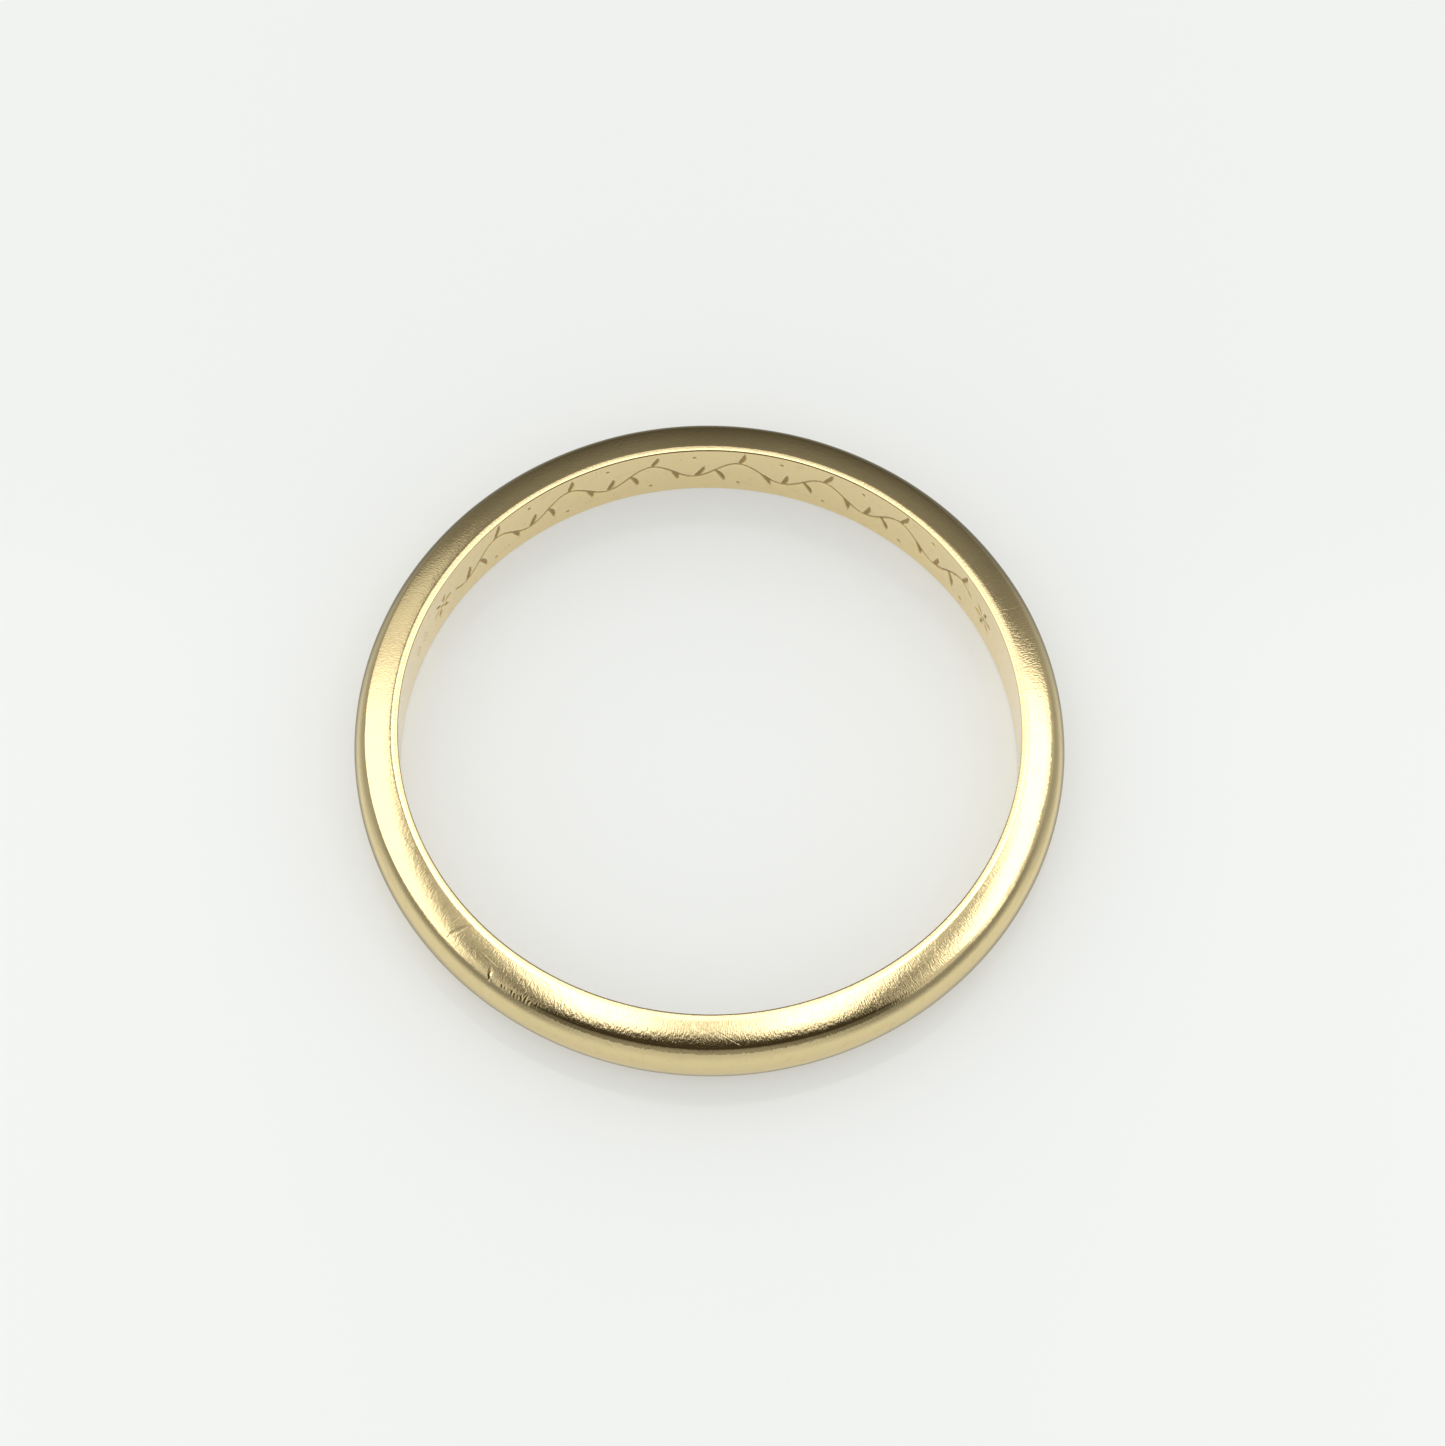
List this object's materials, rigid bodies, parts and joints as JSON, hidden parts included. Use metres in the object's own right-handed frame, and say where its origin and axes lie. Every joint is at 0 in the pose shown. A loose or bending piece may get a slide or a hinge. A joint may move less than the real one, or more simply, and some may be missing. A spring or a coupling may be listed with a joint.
{
  "type": "wedding band",
  "caption": "Plain narrow half-round gold wedding band, polished and lightly worn, with an engraved inner wall and one soldered joint.",
  "frame": {"origin": "centre of the ring, on its axis, half way up its width", "axes": "+Z along the ring's axis; the ring lies flat on its lower rim; +Y towards the engraved stretch of the inner wall"},
  "size_m": [0.0198, 0.0198, 0.0022],
  "materials": {
    "gold": "polished yellow gold with fine wear scratches",
    "gold_solder": "polished gold solder, slightly paler and duller than the band"
  },
  "bodies": {
    "root": {"band": "gold", "solder_joint": "gold_solder"}
  },
  "joints": []
}
